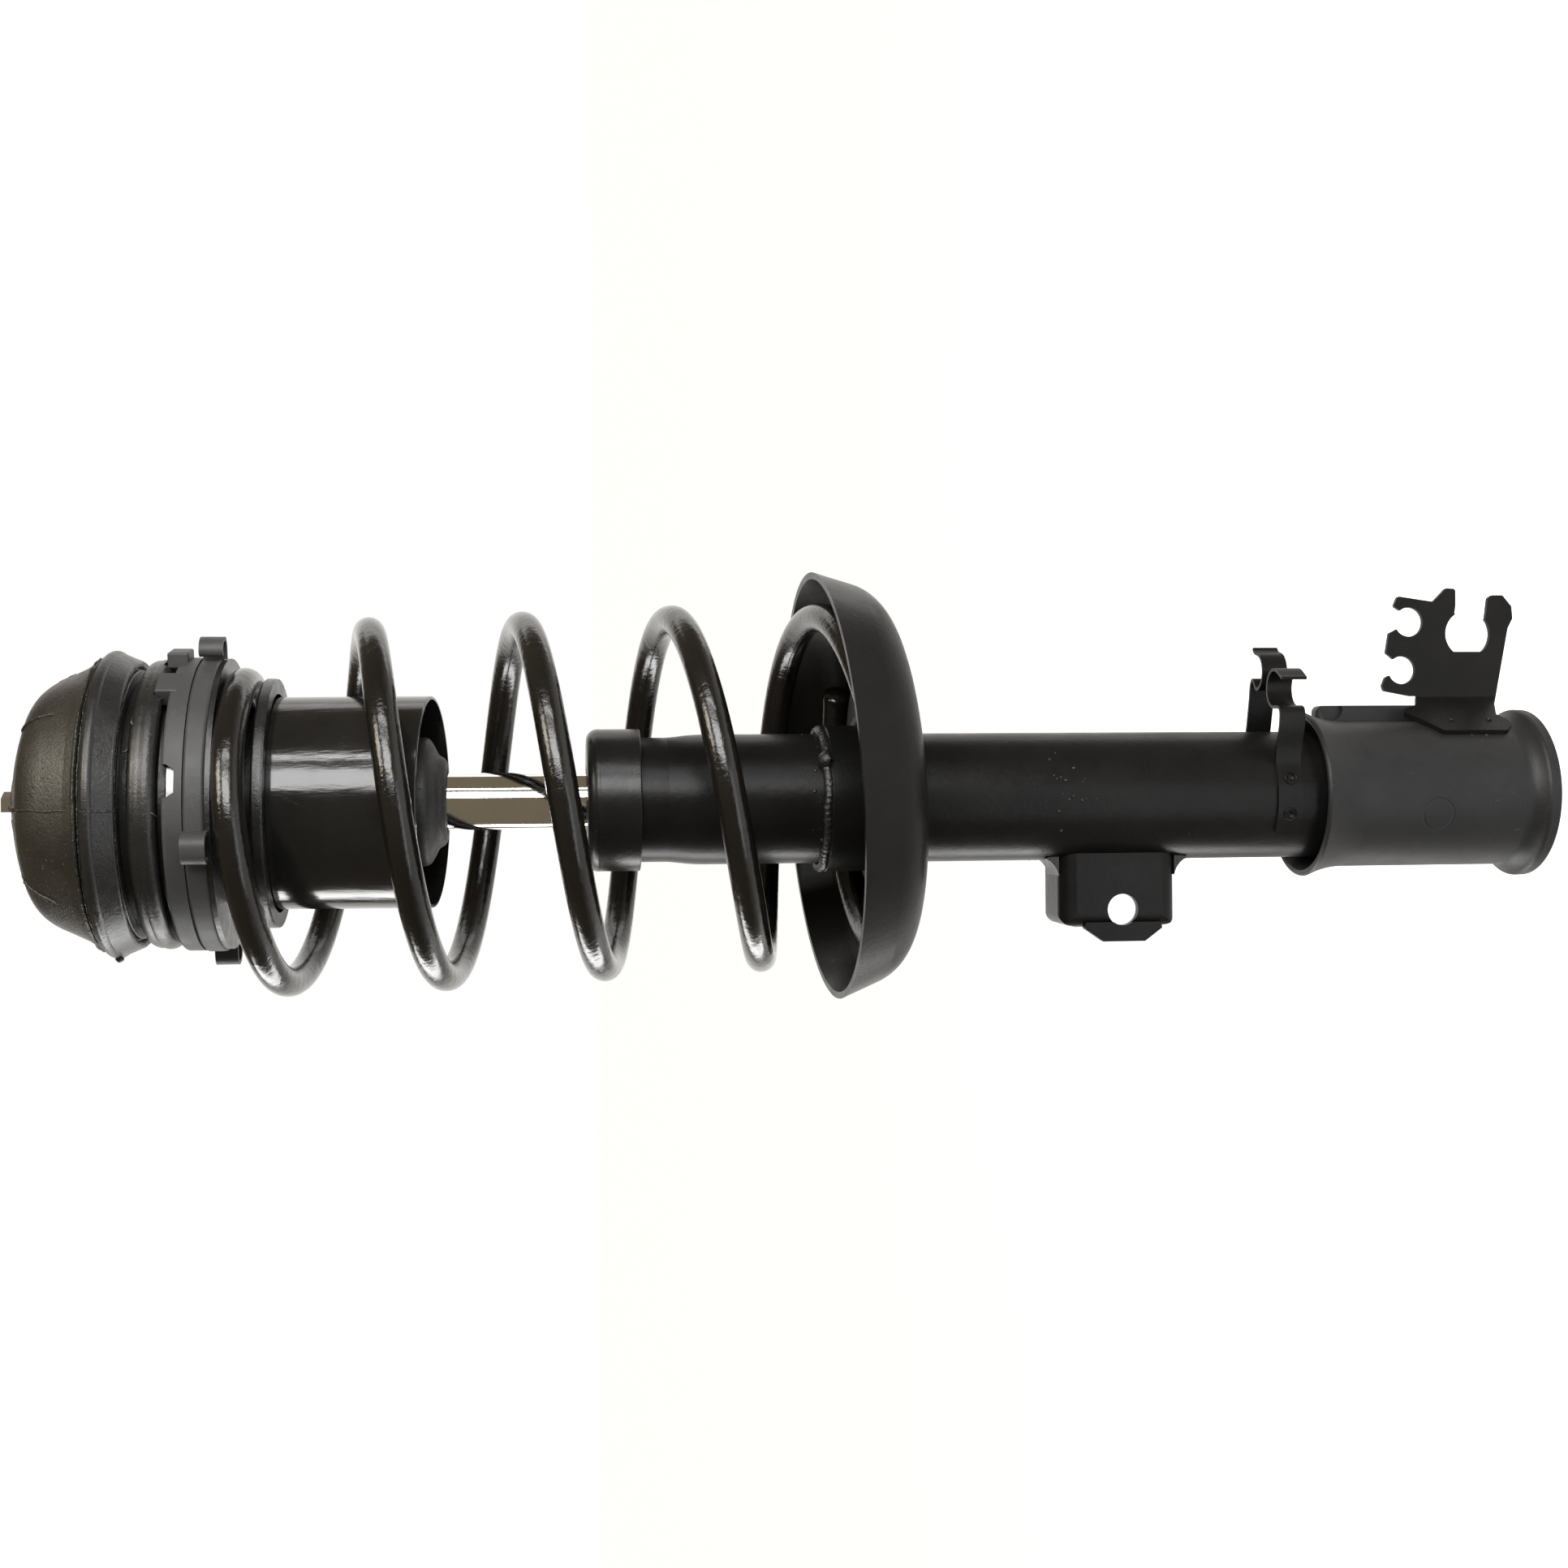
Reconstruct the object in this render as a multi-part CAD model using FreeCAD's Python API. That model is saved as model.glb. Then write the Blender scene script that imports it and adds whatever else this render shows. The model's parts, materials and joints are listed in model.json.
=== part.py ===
import FreeCAD, Part
import math
import os

# MacPherson strut assembly, millimetres. Z runs along the damper from the lower end (z = 0) to the top mount.
# X points to the side of the hose bracket, -Y to the side where the clip strap and the link bracket face.

V = FreeCAD.Vector
GAP = 0.05            # assembly gap between pieces that are pressed or welded together
SHEET = 2.0           # pressed bracket steel

# damper tube
TUBE_R = 25.5
TUBE_WALL = 2.0
TUBE_FOOT_Z = 6.0
NECK_R = 24.3
NECK_LOW_Z = 350.0
TUBE_TOP_Z = 381.4
CAP_R = 27.7
CAP_LOW_Z = 363.5
CAP_TOP_Z = 384.0

# lower sleeve, held by the steering knuckle
SLEEVE_R = 29.5
FLARE_R = 33.3
FLARE_Z = 95.5
FOOT_RING_R = 34.0

# damper internals
ROD_R = 11.0
ROD_SHOULDER_Z = 566.0
STUD_R = 6.0
STUD_TOP_Z = 596.0
STUD_TIP_Z = 602.1
KEY_FLATS = 9.0
CYLINDER_R = 16.0
CYLINDER_WALL = 1.4
CYLINDER_LOW_Z = 20.0
GUIDE_LOW_Z = 361.0
GUIDE_TOP_Z = 378.0
PISTON_LOW_Z = 318.0
PISTON_TOP_Z = 338.0
RUN_FIT = 0.03        # radial running clearance of rod and piston

# coil spring
WIRE_R = 5.75
COIL_R = 66.65
PIGTAIL_R = 44.5
COIL_TOP_Z = 511.7
COIL_PITCH = 59.0
COIL_FIRST_TURN = -0.2
COIL_LAST_TURN = 4.85
PITCH_START_TURN = 0.18
PITCH_FULL_TURN = 0.30
LAND_START_TURN = 3.98
COIL_TOP_X = -1.4
COIL_LOW_X = 4.6
COIL_TUCK = 2.4       # the last turn is drawn in by this much to lie in the dish
COIL_SETTLE = (1.6, 1.0, 0.9)    # and moved by this much to the middle of the dish's floor

# lower spring dish, slightly inclined to the tube
DISH_R = 84.0
DISH_WALL_R = 79.0
DISH_WALL_DEPTH = 14.0
DISH_DEPTH = 28.0
DISH_FILLET = 20.0
DISH_SHEET = 2.5
DISH_RIM_Z = 291.5
DISH_X = 5.0
DISH_TILT_X = 3.4     # degrees, +X side raised
DISH_TILT_Y = 2.4     # degrees, -Y side lowered
COLLAR_R = 28.8
COLLAR_LOW_Z = 262.0
COLLAR_TOP_Z = 291.8

# upper spring seat and strut bearing
SEAT_LOW_Z = 519.5
SEAT_SPLIT_Z = 527.2
HOUSING_TOP_Z = 534.4
HOUSING_R = 56.0
BALL_R = 2.5
BALL_PCD_R = 47.0
BALL_Z = 527.0
BALL_COUNT = 30
HOOK_COUNT = 4
HOOK_ANGLE = -15.0    # degrees from +X, the first snap hook

# bump stop and dust sleeve
STOP_LOW_Z = 437.0
STOP_TOP_Z = 512.0
STOP_R = 25.0
DUST_R = 40.5
DUST_WALL = 1.2
DUST_TOP_Z = 504.0
DUST_LOW_Z = 442.0
DUST_LEAN = 6.0       # degrees, the open end leans towards -Y

# top mount
RIM_Z = 563.6
RIM_R = 55.4
DOME_TOP_Z = 595.6
WELL_R = 14.0
WELL_FLOOR_Z = 580.0


def save(shape, node):
    """Write one piece to its STEP file."""
    for solid in shape.Solids:
        if not solid.isValid() or solid.Volume <= 0:
            raise ValueError(node + " is not a sound solid")
    shape.exportStep("parts/" + node + ".step")
    box = shape.BoundBox
    print(node, len(shape.Solids), round(shape.Volume), [round(v, 1) for v in
          (box.XMin, box.XMax, box.YMin, box.YMax, box.ZMin, box.ZMax)])


def at_angle(radius, degrees, z=0.0):
    """Point at a radius and an angle from +X."""
    angle = math.radians(degrees)
    return V(radius * math.cos(angle), radius * math.sin(angle), z)


def cylinder(radius, low, high, x=0.0, y=0.0):
    return Part.makeCylinder(radius, high - low, V(x, y, low))


def ring(outer, inner, low, high):
    """Plain ring about the Z axis."""
    return cylinder(outer, low, high).cut(cylinder(inner, low, high))


def outline(start, steps, place):
    """Closed wire. A step is a point, or a pair of points for an arc through the first to the second."""
    edges = []
    here = place(start)
    for step in list(steps) + [start]:
        if isinstance(step[0], tuple):
            end = place(step[1])
            edges.append(Part.Arc(here, place(step[0]), end).toShape())
        else:
            end = place(step)
            edges.append(Part.makeLine(here, end))
        here = end
    return Part.Wire(edges)


def lathe(start, *steps):
    """Solid turned about Z from an outline of (radius, z) points."""
    wire = outline(start, steps, lambda p: V(p[0], 0, p[1]))
    solid = Part.Face(wire).revolve(V(0, 0, 0), V(0, 0, 1), 360)
    if solid.Volume < 0:
        solid.reverse()
    return solid


def plate(place, along, start, *steps):
    """Solid made by moving a flat outline along a vector."""
    wire = outline(start, steps, place)
    solid = Part.Face(wire).extrude(along)
    if solid.Volume < 0:
        solid.reverse()
    return solid


def strap(path, low, high, thickness):
    """Bent strip whose width lies along Z between low and high; path is its centre line in X and Y."""
    points = [V(x, y, low) for x, y in path]
    curve = Part.BSplineCurve()
    curve.interpolate(points)
    spine = Part.Wire([curve.toShape()])
    tangent = curve.tangent(curve.FirstParameter)[0]
    side = V(-tangent.y, tangent.x, 0) * (thickness / 2)
    rise = V(0, 0, high - low)
    corners = [points[0] + side, points[0] - side, points[0] - side + rise, points[0] + side + rise]
    section = Part.makePolygon(corners + corners[:1])
    pipe = Part.BRepOffsetAPI.MakePipeShell(spine)
    pipe.setBiNormalMode(V(0, 0, 1))
    pipe.add(section)
    pipe.build()
    pipe.makeSolid()
    solid = Part.Solid(pipe.shape())
    if solid.Volume < 0:
        solid.reverse()
    return solid


def turned(shape, degrees, x=0.0, y=0.0, z=0.0, axis=V(0, 0, 1)):
    """Copy of a shape turned about an axis through a point."""
    copy = shape.copy()
    copy.rotate(V(x, y, z), axis, degrees)
    return copy


def repeated(shape, count, first=0.0):
    """Copies spaced evenly about Z."""
    return [turned(shape, first + 360.0 * i / count) for i in range(count)]


def hexagon(flats, low, high):
    """Hexagonal bar about Z."""
    points = [at_angle(flats / math.sqrt(3), 60 * i, low) for i in range(6)]
    wire = Part.makePolygon(points + points[:1])
    return Part.Face(wire).extrude(V(0, 0, high - low))


# ---- damper ----------------------------------------------------------------------------------------------

def reserve_tube():
    """Outer tube, necked at its top and rolled in over the rod guide."""
    inner = TUBE_R - TUBE_WALL
    neck = NECK_R - TUBE_WALL
    return lathe((TUBE_R, TUBE_FOOT_Z), (TUBE_R, NECK_LOW_Z - 12),
                 ((TUBE_R - 0.25, NECK_LOW_Z - 6), (NECK_R + 0.4, NECK_LOW_Z - 1)),
                 (NECK_R, NECK_LOW_Z + 3), (NECK_R, TUBE_TOP_Z - 3),
                 ((NECK_R - 0.9, TUBE_TOP_Z - 0.9), (NECK_R - 3, TUBE_TOP_Z)),
                 (16.5, TUBE_TOP_Z), (16.5, GUIDE_TOP_Z + 2.4), (neck, GUIDE_TOP_Z + 2.4),
                 (neck, NECK_LOW_Z + 2), (inner, NECK_LOW_Z - 10), (inner, TUBE_FOOT_Z))


def bottom_cap():
    """Pressed cup that closes the tube's foot."""
    inner = TUBE_R - TUBE_WALL - GAP
    return lathe((0, 7), (10, 7), ((17, 6.2), (inner - 2, 3.2)), (inner, 3.2), (inner, 14), (inner - 2.2, 14),
                 (inner - 2.2, 7.4), ((15, 9.4), (10, 10)), (0, 10))


def lower_sleeve():
    """Thick sleeve over the tube's foot: a flare at the top and a turned-out ring at the foot."""
    bore = TUBE_R + GAP
    return lathe((bore, 3.0), (bore, 76), ((bore + 1.6, 86), (FLARE_R - 2.4, FLARE_Z)),
                 ((FLARE_R - 1.2, FLARE_Z + 0.5), (FLARE_R, FLARE_Z - 0.9)),
                 ((SLEEVE_R + 1.2, 87.5), (SLEEVE_R, 79)), (SLEEVE_R, 12),
                 ((SLEEVE_R + 1.2, 8.2), (FOOT_RING_R - 0.8, 5.6)),
                 ((FOOT_RING_R, 4.4), (FOOT_RING_R, 3.2)), (FOOT_RING_R, 1.2),
                 ((FOOT_RING_R - 0.4, 0.3), (FOOT_RING_R - 1.2, 0)), (30.6, 0), ((28.4, 0.8), (27, 3.0)))


def clamp_rib():
    """Raised rib along the sleeve that sits in the slot of the knuckle's clamp."""
    body = Part.makeBox(12.2, 9.0, 66.0, V(24.0, 3.0, 20.0))
    body = body.makeFillet(1.6, [e for e in body.Edges if e.BoundBox.XMin > 36 and e.Length > 60])
    body = body.makeFillet(3.0, [e for e in body.Edges if e.BoundBox.XMin > 35.9 and 1 < e.Length < 9.1
                                 and e.BoundBox.ZLength < 0.1])
    recess = Part.makeCylinder(4.6, 3.0, V(34.6, 3.0 - 0.5, 80.0), V(0, 1, 0))
    room = lathe((0, 0), (SLEEVE_R + GAP, 0), (SLEEVE_R + GAP, 79),
                 ((SLEEVE_R + 1.2 + 2 * GAP, 87.5), (FLARE_R + 2 * GAP, FLARE_Z - 0.9)), (0, FLARE_Z - 0.9))
    return body.cut(recess).cut(room).Solids[0]


def pressure_tube():
    return ring(CYLINDER_R + CYLINDER_WALL, CYLINDER_R, CYLINDER_LOW_Z, GUIDE_LOW_Z + 4)


def base_valve_body():
    """Foot valve: closes the pressure tube and lets oil pass to the reserve."""
    body = lathe((0, 13), (16.5, 13), (19.5, 16), (19.5, CYLINDER_LOW_Z - GAP), (CYLINDER_R - GAP, CYLINDER_LOW_Z - GAP),
                 (CYLINDER_R - GAP, CYLINDER_LOW_Z + 6), (0, CYLINDER_LOW_Z + 6))
    port = cylinder(1.6, 10, 30, x=9.5)
    for hole in repeated(port, 6) + [cylinder(2.6, 10, 30)]:
        body = body.cut(hole)
    return body.cut(Part.makeCylinder(2.0, 60, V(-30, 0, 14.5), V(1, 0, 0)))


def base_valve_pin():
    """Rivet with the valve discs of the foot valve."""
    disc_z = CYLINDER_LOW_Z + 6 + GAP
    return lathe((0, 14), (2.5, 14), (2.5, disc_z), (13, disc_z), (13, disc_z + 0.6), (8, disc_z + 0.6),
                 (8, disc_z + 1.4), (4.5, disc_z + 1.4), (4.5, disc_z + 3.4), (0, disc_z + 3.4))


def rod_guide():
    """Sintered guide that centres the rod in the neck and seats the pressure tube."""
    outer = NECK_R - TUBE_WALL - GAP
    step = CYLINDER_R + CYLINDER_WALL + GAP
    return lathe((ROD_R + 1.6, GUIDE_LOW_Z), (CYLINDER_R - GAP, GUIDE_LOW_Z), (CYLINDER_R - GAP, GUIDE_LOW_Z + 4 + GAP),
                 (step + 1.2, GUIDE_LOW_Z + 4 + GAP), (outer, GUIDE_LOW_Z + 7), (outer, GUIDE_TOP_Z),
                 (ROD_R + 5, GUIDE_TOP_Z), (ROD_R + 5, GUIDE_TOP_Z - 6), (ROD_R + 1.6, GUIDE_TOP_Z - 6))


def rod_guide_bush():
    """Coated bush that the rod slides in."""
    return ring(ROD_R + 1.6 - GAP, ROD_R + RUN_FIT, GUIDE_LOW_Z, GUIDE_TOP_Z - 6 - GAP)


def rod_seal():
    """Rubber seal with its lip on the rod and its flange under the rolled end of the tube."""
    outer = NECK_R - TUBE_WALL - GAP
    return lathe((ROD_R + RUN_FIT, GUIDE_TOP_Z - 4), (ROD_R + 2.5, GUIDE_TOP_Z - 5.5), (ROD_R + 4.8, GUIDE_TOP_Z - 5.5),
                 (ROD_R + 4.8, GUIDE_TOP_Z + GAP), (outer, GUIDE_TOP_Z + GAP), (outer, GUIDE_TOP_Z + 2.3),
                 (ROD_R + 0.6, GUIDE_TOP_Z + 2.3), (ROD_R + RUN_FIT, GUIDE_TOP_Z + 1.4),
                 (ROD_R + 0.8, GUIDE_TOP_Z - 1))


def top_cap():
    """Cap pressed on the neck; the bump stop lands on it."""
    bore = NECK_R + GAP
    return lathe((bore, CAP_LOW_Z), (CAP_R - 0.5, CAP_LOW_Z), ((CAP_R - 0.1, CAP_LOW_Z + 0.1), (CAP_R, CAP_LOW_Z + 0.6)),
                 (CAP_R, CAP_TOP_Z - 5), ((CAP_R - 1.3, CAP_TOP_Z - 1.2), (CAP_R - 5, CAP_TOP_Z)),
                 (ROD_R + 2.5, CAP_TOP_Z), (ROD_R + 2.5, TUBE_TOP_Z + GAP), (NECK_R - 3, TUBE_TOP_Z + GAP),
                 ((NECK_R - 0.8, TUBE_TOP_Z - 0.8), (bore, TUBE_TOP_Z - 3)))


def piston_rod():
    """Chromed rod with a reduced end for the piston, and a threaded stud with a hexagonal tip at the top."""
    rod = lathe((0, PISTON_LOW_Z - 13), (5, PISTON_LOW_Z - 13), (6, PISTON_LOW_Z - 12), (6, PISTON_TOP_Z + 2),
                (ROD_R, PISTON_TOP_Z + 2), (ROD_R, ROD_SHOULDER_Z - 1), (ROD_R - 1, ROD_SHOULDER_Z),
                (STUD_R, ROD_SHOULDER_Z), (STUD_R, STUD_TOP_Z - 0.8), (STUD_R - 0.8, STUD_TOP_Z), (0, STUD_TOP_Z))
    return rod.fuse(hexagon(KEY_FLATS, STUD_TOP_Z - 1, STUD_TIP_Z)).removeSplitter()


def piston():
    """Damper piston with ports and a groove for its band."""
    outer = CYLINDER_R - 0.4
    body = lathe((6 + GAP, PISTON_LOW_Z), (outer - 2, PISTON_LOW_Z), (outer, PISTON_LOW_Z + 2), (outer, PISTON_LOW_Z + 5),
                 (outer - 1.4, PISTON_LOW_Z + 5), (outer - 1.4, PISTON_TOP_Z - 5), (outer, PISTON_TOP_Z - 5),
                 (outer, PISTON_TOP_Z - 2), (outer - 2, PISTON_TOP_Z), (6 + GAP, PISTON_TOP_Z))
    for port in repeated(cylinder(1.5, PISTON_LOW_Z - 1, PISTON_TOP_Z + 1, x=10.2), 8):
        body = body.cut(port)
    return body


def piston_band():
    """Low-friction band between piston and pressure tube."""
    return ring(CYLINDER_R - RUN_FIT, CYLINDER_R - 1.8 + GAP, PISTON_LOW_Z + 5 + GAP, PISTON_TOP_Z - 5 - GAP)


def piston_shims():
    """Two stacks of valve discs, above and below the piston."""
    lower = [ring(r, 6 + GAP, PISTON_LOW_Z - z - 0.6, PISTON_LOW_Z - z - GAP)
             for r, z in ((13, 0), (11, 0.6), (9, 1.2))]
    upper = [ring(r, 6 + GAP, PISTON_TOP_Z + z + GAP, PISTON_TOP_Z + z + 0.6)
             for r, z in ((13, 0), (11, 0.6))]
    return Part.makeCompound(lower + upper)


def piston_nut():
    return hexagon(17, PISTON_LOW_Z - 10.5, PISTON_LOW_Z - 2).cut(cylinder(6 + GAP, 300, 320))


def rebound_stop():
    """Rubber ring on a pressed collar that ends the rod's outward travel under the guide."""
    top = GUIDE_LOW_Z - 0.3
    return lathe((ROD_R + GAP, top - 16), (ROD_R + 2.4, top - 16), (ROD_R + 3.4, top - 14), (ROD_R + 3.4, top - 9),
                 ((ROD_R + 4.4, top - 4.5), (ROD_R + 3.2, top)), (ROD_R + GAP, top))


# ---- tube fittings ---------------------------------------------------------------------------------------

def dish_frame(shape):
    """Put a shape made about the origin, rim at z = 0, into the dish's inclined position."""
    placed = turned(shape, -DISH_TILT_X, axis=V(0, 1, 0))
    placed = turned(placed, DISH_TILT_Y, axis=V(1, 0, 0))
    placed.translate(V(DISH_X, 0, DISH_RIM_Z))
    return placed


def dish_outline(inset):
    """Outer skin of the dish, moved inwards by the sheet's thickness for its inner skin."""
    slope = math.atan2(DISH_R - DISH_WALL_R, DISH_WALL_DEPTH)
    fillet = DISH_FILLET - inset
    centre_z = DISH_FILLET - DISH_DEPTH
    centre_r = DISH_R + centre_z * math.tan(slope) - DISH_FILLET / math.cos(slope)
    wall = (centre_r + fillet * math.cos(slope), centre_z - fillet * math.sin(slope))
    middle_angle = (math.pi / 2 + slope) / 2
    middle = (centre_r + fillet * math.cos(middle_angle), centre_z - fillet * math.sin(middle_angle))
    floor = (centre_r, centre_z - fillet)
    rim = (DISH_R - inset / math.cos(slope), 0.0)
    return rim, wall, middle, floor


def spring_dish():
    """Pressed dish under the spring, with a raised ring round the collar."""
    rim, wall, middle, floor = dish_outline(0)
    rim_in, wall_in, middle_in, floor_in = dish_outline(DISH_SHEET)
    rise = 6.5
    up = floor[1] + rise
    up_in = floor_in[1] + rise
    skin = lathe(rim, wall, (middle, floor), (50, floor[1]), ((47.5, floor[1] + 0.9), (45.8, up - 1.4)),
                 ((44.4, up - 0.4), (42.5, up)), (20, up), (20, up_in), (42.8, up_in),
                 ((46.2, up_in - 0.7), (48.2, up_in - 2.6)), ((49.4, floor_in[1] + 0.6), (52, floor_in[1])),
                 floor_in, (middle_in, wall_in), rim_in)
    return dish_frame(skin).cut(cylinder(COLLAR_R + GAP, 200, 330))


def dish_collar():
    """Short steel collar between tube and dish."""
    bore = TUBE_R + GAP
    return lathe((bore, COLLAR_LOW_Z), (COLLAR_R, COLLAR_LOW_Z), (COLLAR_R, COLLAR_TOP_Z - 1.2),
                 (COLLAR_R - 1.0, COLLAR_TOP_Z), (bore, COLLAR_TOP_Z))


def torus(major, minor, z):
    return Part.makeTorus(major, minor, V(0, 0, z))


def dish_welds():
    """Weld beads: dish to collar, and collar to tube with the lump where the bead was closed."""
    bead = dish_frame(torus(COLLAR_R + 1.0, 2.2, -DISH_DEPTH + DISH_SHEET + 7.4))
    bead.translate(V(-DISH_X * 0.78, 0, 0))
    bead = bead.cut(spring_dish()).cut(cylinder(COLLAR_R + GAP, 200, 330))
    foot = torus(TUBE_R + 1.4, 1.7, COLLAR_TOP_Z + 0.6)
    lump = Part.makeSphere(3.6, at_angle(TUBE_R + 2.4, -58, COLLAR_TOP_Z + 0.8))
    top = foot.fuse(lump).cut(cylinder(TUBE_R + GAP, 200, 330)).cut(cylinder(40, 200, COLLAR_TOP_Z + GAP))
    beads = [max(shape.Solids, key=lambda s: s.Volume) for shape in (bead, top)]
    return Part.makeCompound(beads)


def coil_height(turn):
    """Height of the wire's centre, before the seat's inclination is added."""
    middle = (PITCH_START_TURN + PITCH_FULL_TURN) / 2
    if turn < PITCH_START_TURN:
        return COIL_TOP_Z
    if turn < PITCH_FULL_TURN:
        part = turn - PITCH_START_TURN
        return COIL_TOP_Z - COIL_PITCH * part * part / 2 / (PITCH_FULL_TURN - PITCH_START_TURN)
    seat_z = DISH_RIM_Z - DISH_DEPTH + DISH_SHEET + WIRE_R + 0.45
    land_z = COIL_TOP_Z - COIL_PITCH * (LAND_START_TURN - middle)
    land_span = 2 * (land_z - seat_z) / COIL_PITCH
    if turn < LAND_START_TURN:
        return COIL_TOP_Z - COIL_PITCH * (turn - middle)
    part = min(turn - LAND_START_TURN, land_span)
    return land_z - COIL_PITCH * part + COIL_PITCH * part * part / 2 / land_span


def ease(value, low, high):
    """Smooth step from 0 at low to 1 at high."""
    part = min(max((value - low) / (high - low), 0.0), 1.0)
    return part * part * (3 - 2 * part)


def coil_point(turn):
    """Centre of the wire; the coil turns clockwise seen from above while it descends."""
    height = coil_height(turn)
    landed = ease(turn, 3.9, 4.5)
    radius = PIGTAIL_R + (COIL_R - PIGTAIL_R) * ease(turn, -0.12, 0.5) - COIL_TUCK * landed
    centre_x = COIL_TOP_X + (COIL_LOW_X - COIL_TOP_X) * min(max((461 - height) / 139, 0.0), 1.0)
    arm = at_angle(radius, -360 * turn)
    lean = ease(turn, 0.6, 4.2)
    height += lean * arm.x * math.tan(math.radians(DISH_TILT_X)) * (1 if turn > 3.9 else 0.75 + 0.25 * lean)
    height += ease(turn, 3.6, 4.3) * arm.y * math.tan(math.radians(DISH_TILT_Y))
    return V(centre_x + arm.x, arm.y, height) + V(*COIL_SETTLE) * landed


def coil_spring():
    """Round wire coil: a small flat turn at the top, and a last turn that lies in the dish."""
    steps = 110
    turns = [COIL_FIRST_TURN + (COIL_LAST_TURN - COIL_FIRST_TURN) * i / steps for i in range(steps + 1)]
    curve = Part.BSplineCurve()
    curve.interpolate([coil_point(turn) for turn in turns])
    spine = Part.Wire([curve.toShape()])
    start = curve.value(curve.FirstParameter)
    tangent = curve.tangent(curve.FirstParameter)[0]
    section = Part.Wire([Part.makeCircle(WIRE_R, start, tangent)])
    solid = spine.makePipeShell([section], True, True)
    if solid.Volume < 0:
        solid.reverse()
    print("coil length", round(curve.length()), "volume ratio",
          round(solid.Volume / (math.pi * WIRE_R ** 2 * curve.length()), 4))
    return solid


LINK_HOLE_R = 6.2
LINK_HOLE_X = -45.0
LINK_HOLE_Z = 173.0
LINK_FACE_Y = -12.0
LINK_SHEET = 3.6
LINK_LOW_Z = 151.0
LINK_HIGH_Z = 198.0


def link_bracket():
    """Channel for the sway-bar link: one web with the hole, two flanges turned back."""
    back_y = 13.0
    low, high = LINK_LOW_Z, LINK_HIGH_Z
    outer = Part.makeBox(40, back_y - LINK_FACE_Y, high - low, V(-52.6, LINK_FACE_Y, low))
    outer = outer.makeFillet(6.5, [e for e in outer.Edges if e.Length > 39.9 and e.BoundBox.YMax < LINK_FACE_Y + 0.1])
    inner = Part.makeBox(60, back_y - LINK_FACE_Y, high - low - 2 * LINK_SHEET,
                         V(-60, LINK_FACE_Y + LINK_SHEET, low + LINK_SHEET))
    inner = inner.makeFillet(3.0, [e for e in inner.Edges if e.Length > 59.9 and e.BoundBox.YMax < 0])
    tip = plate(lambda p: V(p[1], LINK_FACE_Y, p[0]), V(0, LINK_SHEET, 0),
                (188, -50.0), (188.5, -52.4), (181, -57.6), (164, -57.6), (157, -52.4), (157.5, -50.0))
    trim = plate(lambda p: V(p[1], LINK_FACE_Y - 1, p[0]), V(0, 40, 0),
                 (low - 5, -60), (low - 5, -44), (low, -46), ((low + 0.8, -49.4), (low + 4.5, -51.4)),
                 (low + 9, -52.65), (low + 9, -60))
    far_trim = trim.mirror(V(0, 0, (low + high) / 2), V(0, 0, 1))
    body = outer.cut(inner).cut(trim).cut(far_trim).fuse(tip)
    hole = Part.makeCylinder(LINK_HOLE_R, 8, V(LINK_HOLE_X, LINK_FACE_Y - 2, LINK_HOLE_Z), V(0, 1, 0))
    body = body.cut(hole).cut(cylinder(TUBE_R + GAP, 100, 250))
    return max(body.Solids, key=lambda s: s.Volume)


def link_welds():
    """Fillet welds at the two ends of the link bracket."""
    beads = []
    for z, lean in ((LINK_HIGH_Z, 1), (LINK_LOW_Z, -1)):
        bead = plate(lambda p: V(p[1], -9, p[0]), V(0, 18, 0), (z + lean * GAP, -31.5),
                     ((z + lean * 1.6, -27.8), (z + lean * 5.5, -24.6)), (z + lean * GAP, -22.5))
        bead = bead.cut(cylinder(TUBE_R + GAP, 100, 250)).cut(link_bracket())
        beads.append(max(bead.Solids, key=lambda s: s.Volume))
    return Part.makeCompound(beads)


CLIP_LOW_Z = 103.9
CLIP_HIGH_Z = 114.1
CLIP_SHEET = 1.2


def clear_of_tube(body):
    """The strap without what would reach into the tube."""
    return body.cut(cylinder(TUBE_R + GAP, CLIP_LOW_Z - 5, CLIP_HIGH_Z + 5))


def clip_near():
    """Spring clip on the -Y side: a leg on the tube and a C hook that opens towards -Y."""
    seat_r = TUBE_R + CLIP_SHEET / 2 + GAP
    leg = [at_angle(seat_r, -90 + a) for a in (-34, -22, -10, 2, 14, 26)]
    path = [(p.x, p.y) for p in leg]
    path += [(16.5, -23.6), (23.5, -26.2), (30.5, -28.2), (33.6, -27.6), (34.6, -24.8)]
    path += [(42 + 7.4 * math.cos(math.radians(a)), -21.6 + 7.4 * math.sin(math.radians(a)))
             for a in (165, 140, 115, 90, 65, 40, 15, -12)]
    path += [(47.2, -27.6), (45.6, -30.6)]
    body = strap(path, CLIP_LOW_Z, CLIP_HIGH_Z, CLIP_SHEET)
    for x in (6.7, -7.6):
        y = -math.sqrt((TUBE_R + CLIP_SHEET) ** 2 - x * x)
        dent = Part.makeSphere(2.0, V(x * 1.055, y * 1.055, (CLIP_LOW_Z + CLIP_HIGH_Z) / 2))
        body = body.cut(dent)
    return clear_of_tube(body)


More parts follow.
